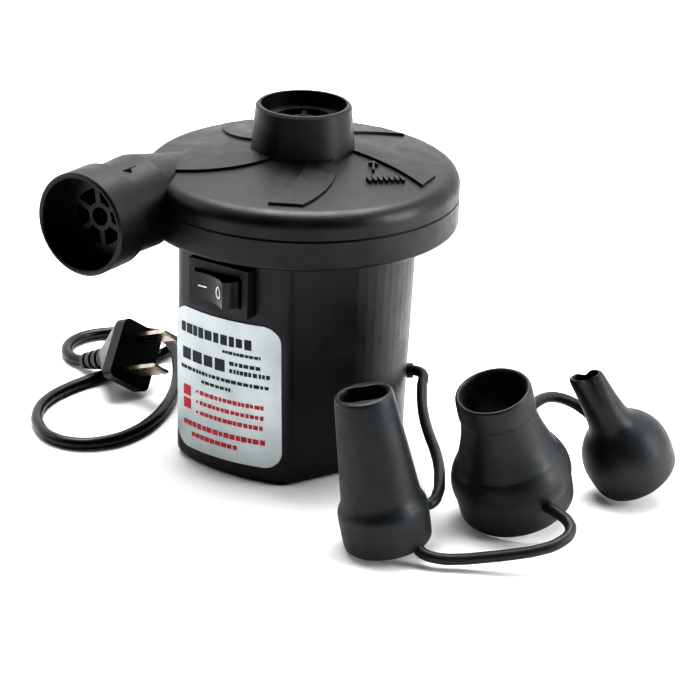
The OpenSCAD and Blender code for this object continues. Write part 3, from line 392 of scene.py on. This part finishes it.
TALL_PLACE = placed((73.1, -54.6, 2.62), (5.9, -9.0))
WIDE_PLACE = placed((93.8, -11.0, 5.7), (18.2, -4.6))
PINCH_PLACE = placed((115.5, 29.6, 6.7), (25.8, -17.1))
# The way that the long axis of a narrowed mouth points, from X
WIDE_AXIS_ANGLE = math.radians(33)


def tall_nozzle():
    """Long taper over a socket, with a bore that narrows across at its mouth."""
    bm = turned(
        [
            (12.5, 0), (13.3, 0.35), (13.8, 1.2), (14.0, 2.6), (14.15, 7.5),
            (14.25, 11.4), (14.1, 12.8), (13.6, 14.0), (12.9, 15.1),
            (12.5, 16.4), (12.25, 18.5), (11.3, 29), (10.25, 40), (9.3, 49.2),
            (9.15, 50.2), (8.7, 50.85), (8.1, 51), (7.6, 50.7), (7.3, 49.8),
            (7.4, 44), (8.6, 32), (9.9, 19), (12.2, 15), (12.4, 13),
            (12.4, 2), (12.42, 0.4),
        ]
    )  # fmt: skip
    waist_from, waist_run, waist_pull, bore_r = 36, 9, 0.34, 8.2
    for v in bm.verts:
        r = math.hypot(v.co.x, v.co.y)
        depth = v.co.z / MM - waist_from
        if depth > 0 and r < bore_r * MM:
            pull = min(depth / waist_run, 1) * waist_pull
            across = math.cos(math.atan2(v.co.y, v.co.x) - WIDE_AXIS_ANGLE) ** 2
            v.co.xy *= 1 - pull * (1 - across) ** 2
    bm.transform(TALL_PLACE)
    return finished(
        "tall_nozzle_shell", bm, PVC, "tall_nozzle", levels=2
    )


def wide_nozzle():
    """Bell with a soft shoulder, a waist and a stepped collar."""
    bm = turned(
        [
            (17.25, 0), (17.9, 0.3), (18.35, 1.1), (18.5, 2.4), (18.75, 8.2),
            (18.8, 8.9), (19.15, 9.6), (19.35, 11.2), (19.2, 13.4), (18.6, 15.6),
            (17.6, 17.7), (16.9, 18.8), (16.2, 19.6), (15.9, 20.4), (14.2, 25),
            (12.9, 29.5), (12.2, 33), (11.95, 36.2),
            (11.95, 36.8), (12.2, 37.1), (12.3, 37.6), (12.25, 40.5),
            (12.2, 43.6), (12.0, 44.5), (11.5, 44.95), (10.9, 44.9),
            (10.45, 44.3), (10.3, 43), (10.3, 33), (12.4, 25), (16.3, 15.5),
            (17.15, 11.5), (17.15, 1.6), (17.15, 0.4),
        ],
        56,
    )  # fmt: skip
    bm.transform(WIDE_PLACE)
    return finished(
        "wide_nozzle_shell", bm, PVC, "wide_nozzle", levels=2
    )


def pinch_nozzle():
    """Round bulb with a thin spout, whose tip is pinched flat and notched."""
    bm = turned(
        [
            (12.7, 0), (13.4, 0.4), (13.9, 1.5), (14.3, 4), (14.65, 7),
            (14.75, 9.4), (14.5, 12), (13.75, 14.8), (12.5, 17.2),
            (10.9, 19.4), (9.2, 21.2), (7.9, 22.8), (7.1, 24.6), (6.6, 27),
            (6.0, 31.5), (5.5, 35.5), (5.1, 39.5), (4.85, 42.0), (4.7, 43.4),
            (4.45, 44.2), (3.95, 44.5), (3.45, 44.2), (3.25, 43.3), (3.3, 41),
            (3.9, 33), (4.5, 25), (6.5, 20), (10.2, 15.5), (12.2, 11),
            (12.4, 8), (12.4, 1.6), (12.42, 0.4),
        ]
    )  # fmt: skip
    pinch_from, pinch_run = 28, 16.5
    widen, flatten = 0.16, 0.42
    notch_half_w, notch_narrow, notch_from = 1.5, 0.4, 40.5
    notch_depth, notch_lean, tip_slope = 0.9, 0.5, 0.22
    for v in bm.verts:
        up = (v.co.z / MM - pinch_from) / pinch_run
        if up <= 0:
            continue
        angle = math.atan2(v.co.y, v.co.x) - WIDE_AXIS_ANGLE
        r = math.hypot(v.co.x, v.co.y)
        along, over = r * math.cos(angle), r * math.sin(angle)
        ease = min(up, 1) ** 1.5
        along *= 1 + widen * ease
        over *= 1 - flatten * ease
        lobe = math.exp(-((along / (notch_half_w * MM)) ** 2))
        over *= 1 - notch_narrow * lobe * ease
        v.co.xy = Matrix.Rotation(WIDE_AXIS_ANGLE, 2) @ Vector((along, over))
        if v.co.z > notch_from * MM:
            v.co.z -= (notch_depth - notch_lean * along / (4 * MM)) * lobe * MM
            v.co.z -= along * tip_slope
    bm.transform(PINCH_PLACE)
    return finished(
        "pinch_nozzle_shell", bm, PVC, "pinch_nozzle", levels=2
    )


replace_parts(tall_nozzle(), "tall_nozzle")
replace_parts(wide_nozzle(), "wide_nozzle")
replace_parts(pinch_nozzle(), "pinch_nozzle")


# --------------------------------------------------------------- tethers

TETHER_D = 3.6
TETHER_1 = [
    (31.6, 24, 23), (35.6, 23, 23), (39, 17.6, 21.4), (43.4, 10.8, 19.2),
    (49.2, 3.2, 17.4), (56, -4.6, 16.2), (63, -12.2, 15.4),
    (69.6, -20.4, 14.8), (75, -28.6, 14.6), (79.4, -36.6, 14.4),
    (81.2, -44, 14),
]  # fmt: skip
TETHER_2 = [
    (87.4, -57.5, 4.2), (92, -56.6, 3.6), (98, -53, 3.6), (105, -49, 4.8),
    (112, -44.6, 6.2), (118, -40, 7.6), (122.2, -34.6, 9.2),
    (122.8, -29, 10.8), (119.6, -25.2, 12), (115.2, -23.3, 12.6),
    (111.2, -22, 12.8),
]  # fmt: skip
TETHER_3 = [
    (90.8, -4.2, 33.1), (90.6, 0.5, 34), (90.4, 5.8, 34.2),
    (90.6, 11.2, 33.4), (91.8, 16.2, 31.8), (94.2, 20.2, 29.6),
    (97.6, 22.6, 27), (101.7, 23.5, 24.1),
]  # fmt: skip


def tether(name, node, points_mm, into_near, into_far):
    """A moulded strap, curved between the two bodies that it joins.

    into_near and into_far are its ends in mm, sunk into the pieces there.
    """
    whole = [into_near] + points_mm + [into_far]
    piece, line = as_mesh(tube(name, whole, TETHER_D, PVC))
    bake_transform(piece)
    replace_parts(piece, node)


tether(
    "tether_to_tall", "tether_1", TETHER_1,
    (30.6, 23.4, 23), (80.2, -45.4, 13.8),
)  # fmt: skip
tether(
    "tether_to_wide", "tether_2", TETHER_2,
    (85.8, -57.2, 4.8), (109.6, -21.4, 12.8),
)  # fmt: skip
tether(
    "tether_to_pinch", "tether_3", TETHER_3,
    (91, -5.8, 32.6), (103.2, 23.7, 23),
)  # fmt: skip


# ------------------------------------------------------------ mains lead

CORD_D = 4.0
LEAD = [
    (-10.0, 57, 10), (-10.4, 59, 10), (-12.2, 66, 9.8), (-16, 72.6, 10.6),
    (-22, 78, 12.2), (-29.6, 81.6, 13.6), (-38, 83, 14.2), (-46, 82.2, 14.2),
]  # fmt: skip
RUN = [
    (-60.2, 88.2, 9.2), (-66.6, 87.2, 7), (-72.6, 83.6, 4.4), (-76.8, 76.6, 2.4),
    (-79.2, 67, 2), (-79.6, 57, 2), (-78.2, 46, 2), (-76, 35, 2),
    (-74.8, 24, 2), (-75.6, 12, 2), (-78, 0, 2), (-80.4, -12, 2),
    (-82, -24, 2), (-81, -35, 2), (-76.6, -45, 2), (-69, -53, 2),
    (-59, -57.6, 2), (-49.4, -55.6, 2), (-43, -48, 2), (-40.6, -38, 2),
    (-41.4, -27, 2), (-44.4, -16, 2), (-49, -5, 2.2), (-55, 5.5, 2.8),
    (-62, 15, 4.4), (-70, 22.6, 6), (-78, 27.6, 6.3), (-85, 30, 5),
    (-92, 30.3, 3.6), (-98.1, 29.1, 2.6), (-103.3, 25.6, 2.1), (-106.8, 20.4, 2),
    (-108, 14.3, 2), (-106.8, 8.2, 2), (-103.3, 3, 2), (-98.4, -0.3, 2.1),
    (-94, -1.5, 2.5), (-90.9, -1.9, 3.2),
]  # fmt: skip
COIL_CENTRE = (-52, 62)
COIL_INNER, COIL_OUTER = 19.5, 23.5
# Angles at which the lead comes onto the coil and leaves it, in degrees
COIL_START, COIL_END, COIL_STEPS = 130.0, 2235, 110


def coil_points():
    """Three turns down the inside of the coil, then three up its outside."""
    low, middle, high = (CORD_D * layer + CORD_D / 2 for layer in range(3))
    heights = [
        (COIL_START, high), (450, high), (490, middle), (810, middle), (850, low),
        (1530, low), (1570, middle), (1890, middle), (1930, high), (COIL_END, high),
    ]  # fmt: skip
    radii = [
        (COIL_START, COIL_INNER), (1170, COIL_INNER), (1210, COIL_OUTER),
        (COIL_END, COIL_OUTER),
    ]  # fmt: skip

    def level(table, angle):
        """The table's value at an angle, eased from one row to the next."""
        for (a0, v0), (a1, v1) in zip(table, table[1:]):
            if angle <= a1:
                t = (angle - a0) / (a1 - a0)
                return v0 + (v1 - v0) * t * t * (3 - 2 * t)
        return table[-1][1]

    points = []
    for step in range(COIL_STEPS + 1):
        angle = COIL_START + (COIL_END - COIL_START) * step / COIL_STEPS
        r, a = level(radii, angle), math.radians(angle)
        x, y = COIL_CENTRE[0] + r * math.cos(a), COIL_CENTRE[1] + r * math.sin(a)
        points.append((x, y, level(heights, angle)))
    return points


def mains_lead():
    """The lead in one curve: out of the gland, round the coil, to the plug."""
    descent = [(-54.2, 80.9, 13.4)]
    rise = [(-52.6, 87, 9.9)]
    whole = LEAD + descent + coil_points() + rise + RUN
    piece = tube("mains_lead", whole, CORD_D, CORD)
    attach(piece, "pump")
    for node in ("cord_lead", "cord_coil", "cord_run"):
        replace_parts(piece, node)


mains_lead()


# ----------------------------------------------------------------- label

PANEL_ARC = 58.0
PANEL_FRONT = 42.4
PRINT_LIFT = 0.4
LABEL_X, LABEL_MIDDLE, LABEL_TURN = -0.4, 30.35, math.radians(1.4)
# Height of the middle of the printed rows, in the rows' own measure
ROWS_MIDDLE = 29.1
INK_T = 0.03


def printed_marks(name, marks, material):
    """Thin raised marks (x, z, width, height in mm) on the curved label."""
    bm = bmesh.new()
    label = Matrix.Translation(Vector((LABEL_X, 0, LABEL_MIDDLE)) * MM)
    label = label @ Matrix.Rotation(-LABEL_TURN, 4, "Y")
    upright = Matrix.Rotation(math.pi / 2, 4, "X")
    for x, z, w, h in marks:
        spot = Matrix.Translation(Vector((x, 0, z - ROWS_MIDDLE)) * MM)
        size = Matrix.Diagonal((w * MM, h * MM, 1, 1))
        bmesh.ops.create_grid(
            bm,
            x_segments=max(1, int(w // 2)),
            y_segments=1,
            size=0.5,
            matrix=label @ spot @ upright @ size,
        )
    r = (PANEL_ARC + PRINT_LIFT) * MM
    for v in bm.verts:
        v.co.y = (PANEL_ARC - PANEL_FRONT) * MM - math.sqrt(r * r - v.co.x**2)
    for part in bmesh.ops.extrude_face_region(bm, geom=bm.faces[:])["geom"]:
        if isinstance(part, bmesh.types.BMVert):
            part.co.y -= INK_T * MM
    bmesh.ops.recalc_face_normals(bm, faces=bm.faces)
    return finished(name, bm, material, "pump", smooth=False)


def text_like(x0, x1, z, height, seed, gap=0.45, low=0.7, high=1.9):
    """A line of plain dashes in place of lettering."""
    draw = random.Random(seed)
    marks, x, least = [], x0, 0.3
    while x < x1:
        w = min(draw.uniform(low, high), x1 - x)
        if w > least:
            marks.append((x + w / 2, z, w, height * draw.uniform(0.82, 1.0)))
        x += w + gap * draw.uniform(0.7, 1.4)
    return marks


def label_print():
    """Rows of dashes in black above and red below, laid out as on the label."""
    dark = text_like(-18.2, 11.5, 46.6, 3.6, 3, 0.7, 1.8, 3.2)
    dark += text_like(0.5, 14.5, 42.6, 1.1, 4, 0.3, 0.8, 1.5)
    dark += text_like(-17.6, 1.6, 37.6, 4.2, 5, 0.8, 3.6, 4.2)
    dark += text_like(3.2, 14.5, 39.0, 1.4, 6)
    dark += text_like(3.2, 17.5, 36.4, 1.6, 7)
    dark += text_like(-18.4, 17.6, 32.6, 1.3, 8)
    dark += text_like(-8.6, 3.5, 29.6, 1.2, 9)
    red = [(-15.6, 24.6, 3.6, 3.6), (-15.6, 20.0, 3.6, 3.6)]
    for row, z in enumerate((25.4, 21.8, 18.2)):
        red += [(-10.8, z, 0.8, 0.8)]
        red += text_like(-9.4, 15.6, z, 1.5, 20 + row, 0.4, 1.0, 1.8)
    red += text_like(-17.4, 16.4, 13.2, 1.9, 30, 0.4, 1.4, 2.2)
    red += text_like(-13.4, 6.0, 9.6, 1.7, 31, 0.4, 1.4, 2.2)
    printed_marks("label_print_black", dark, INK_DARK)
    printed_marks("label_print_red", red, INK_RED)


label_print()


# ------------------------------------------------- floor, light and camera


def studio():
    """White paper, a sky that is bright behind the pump, and three softboxes."""
    floor_z = -0.2 * MM
    bm = bmesh.new()
    drop = Matrix.Translation((0, 0, floor_z))
    bmesh.ops.create_grid(bm, x_segments=1, y_segments=1, size=4, matrix=drop)
    # White studio paper: matte, with a barely visible fibre
    paper = surface(
        "studio_paper", "#fafafa", "#ffffff", (0.75, 0.85), (3, 0.01, 0.1), 60
    )
    floor = finished("floor", bm, paper, None, smooth=False)
    world = bpy.data.worlds.new("studio")
    bpy.context.scene.world = world
    world.use_nodes = True
    sky = world.node_tree.nodes["Background"]
    sky.inputs["Color"].default_value = linear("#ffffff")
    way = add(world.node_tree, "TexCoord").outputs["Generated"]
    # The sky is brightest towards this side: behind the pump, to the left and up
    bright_side = (-0.5, 0.78, 0.38)
    towards = add(
        world.node_tree,
        "VectorMath",
        {"operation": "DOT_PRODUCT", 1: bright_side},
        {0: way},
    )
    fade = add(
        world.node_tree,
        "MapRange",
        {"From Min": -0.25, "From Max": 0.45, "To Min": 0.03, "To Max": 1.1},
        {"Value": towards.outputs["Value"]},
    )
    world.node_tree.links.new(fade.outputs["Result"], sky.inputs["Strength"])
    # Name, place and aim in metres, width and height in metres, power in watts
    lamps = [
        ("overhead_softbox", (-0.15, 0.25, 1.0), (0, 0, 0.06), 0.9, 0.7, 10.5),
        ("right_softbox", (0.95, 0.3, 0.4), (0, 0, 0.05), 0.4, 0.7, 6),
        ("left_softbox", (-0.9, -0.6, 0.6), (0, 0, 0.06), 0.4, 0.4, 0.8),
    ]
    for name, at, aim, wide, tall, power in lamps:
        light = bpy.data.lights.new(name, "AREA")
        light.shape, light.size, light.size_y = "RECTANGLE", wide, tall
        light.energy = power
        lamp = bpy.data.objects.new(name, light)
        lamp.location = at
        towards_aim = Vector(aim) - Vector(at)
        lamp.rotation_euler = towards_aim.to_track_quat("-Z", "Y").to_euler()
        bpy.context.scene.collection.objects.link(lamp)


def camera():
    """Looks from 33 degrees round and 22.65 degrees up, from 0.85 m.

    The pump's middle sits a little left of the picture's centre and above it,
    by aim_right and aim_up, in tangents of the angle from the camera's axis.
    """
    az, el, roll = (math.radians(a) for a in (33.0, 22.65, 1.93))
    distance, middle = 0.85, Vector((0, 0, 0.06))
    aim_right, aim_up = -0.019681, 0.032331
    side = Vector((math.cos(az), math.sin(az), 0))
    back = Vector((math.sin(az), -math.cos(az), 0)) * math.cos(el)
    back.z = math.sin(el)
    up = back.cross(side)
    right = math.cos(roll) * side + math.sin(roll) * up
    top = -math.sin(roll) * side + math.cos(roll) * up
    ray = (right * aim_right + top * aim_up - back).normalized()
    data = bpy.data.cameras.new("camera")
    data.sensor_width = 36
    data.lens = 131.23
    data.clip_end = 20
    eye = bpy.data.objects.new("camera", data)
    turn = Matrix((right, top, back)).transposed().to_4x4()
    eye.matrix_world = Matrix.Translation(middle - ray * distance) @ turn
    bpy.context.scene.collection.objects.link(eye)
    bpy.context.scene.camera = eye


studio()
camera()
bpy.context.scene.view_settings.view_transform = "Standard"
bpy.context.scene.view_settings.look = "Very High Contrast"
